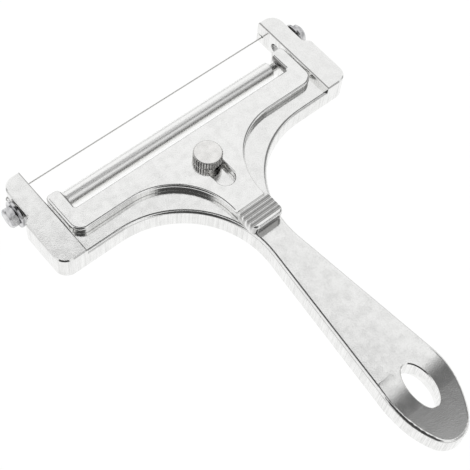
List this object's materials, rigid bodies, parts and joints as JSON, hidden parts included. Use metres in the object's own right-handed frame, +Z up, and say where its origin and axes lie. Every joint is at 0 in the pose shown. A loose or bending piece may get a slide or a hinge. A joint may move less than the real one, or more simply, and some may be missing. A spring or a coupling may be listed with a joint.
{
  "type": "cheese slicer",
  "caption": "Hand-held wire cheese slicer: cast frame with a handle, a taut wire between two cheeks, and a sliding plate with a roller that sets the slice thickness.",
  "frame": {"origin": "middle of the bounding box at its lowest level, under the tip of the handle", "axes": "+X along the cutting wire, to the right as the user holds it, +Y from the handle to the wire, +Z up, out of the side with the thumb screw"},
  "size_m": [0.1284, 0.156, 0.0193],
  "materials": {
    "casting": "polished die casting, lightly tumbled",
    "plate": "polished die casting, lightly tumbled",
    "roller": "turned and polished",
    "axle": "ground bright steel",
    "thumb_screw": "nickel plated, knurled rim",
    "hardware": "zinc plated",
    "wire": "drawn stainless wire"
  },
  "bodies": {
    "frame": {"frame": "casting", "cutting_wire": "wire", "washer_left": "hardware", "washer_right": "hardware"},
    "plate": {"slide_plate": "plate", "roller_axle": "axle"},
    "roller": {"roller": "roller"},
    "thumb_screw": {"thumb_screw": "thumb_screw"},
    "tension_screw_left": {"tension_screw_left": "hardware"},
    "tension_screw_right": {"tension_screw_right": "hardware"}
  },
  "joints": [
    {"name": "plate_slide", "type": "slide", "parent": "frame", "child": "plate", "axis": [0, 1, 0], "range_m": [0, 0.009]},
    {"name": "roller_spin", "type": "hinge", "parent": "plate", "child": "roller", "pos_m": [0, 0.0619, 0.01072], "axis": [1, 0, 0], "continuous": true},
    {"name": "thumb_screw_turn", "type": "hinge", "parent": "frame", "child": "thumb_screw", "pos_m": [0, 0.0439, 0.01572], "axis": [0, 0, 1], "range_deg": [0, 540]},
    {"name": "tension_left_turn", "type": "hinge", "parent": "frame", "child": "tension_screw_left", "pos_m": [-0.06, 0.06815, 0.01022], "axis": [-1, 0, 0], "range_deg": [0, 360]},
    {"name": "tension_right_turn", "type": "hinge", "parent": "frame", "child": "tension_screw_right", "pos_m": [0.06, 0.06815, 0.01022], "axis": [1, 0, 0], "range_deg": [0, 360]}
  ]
}
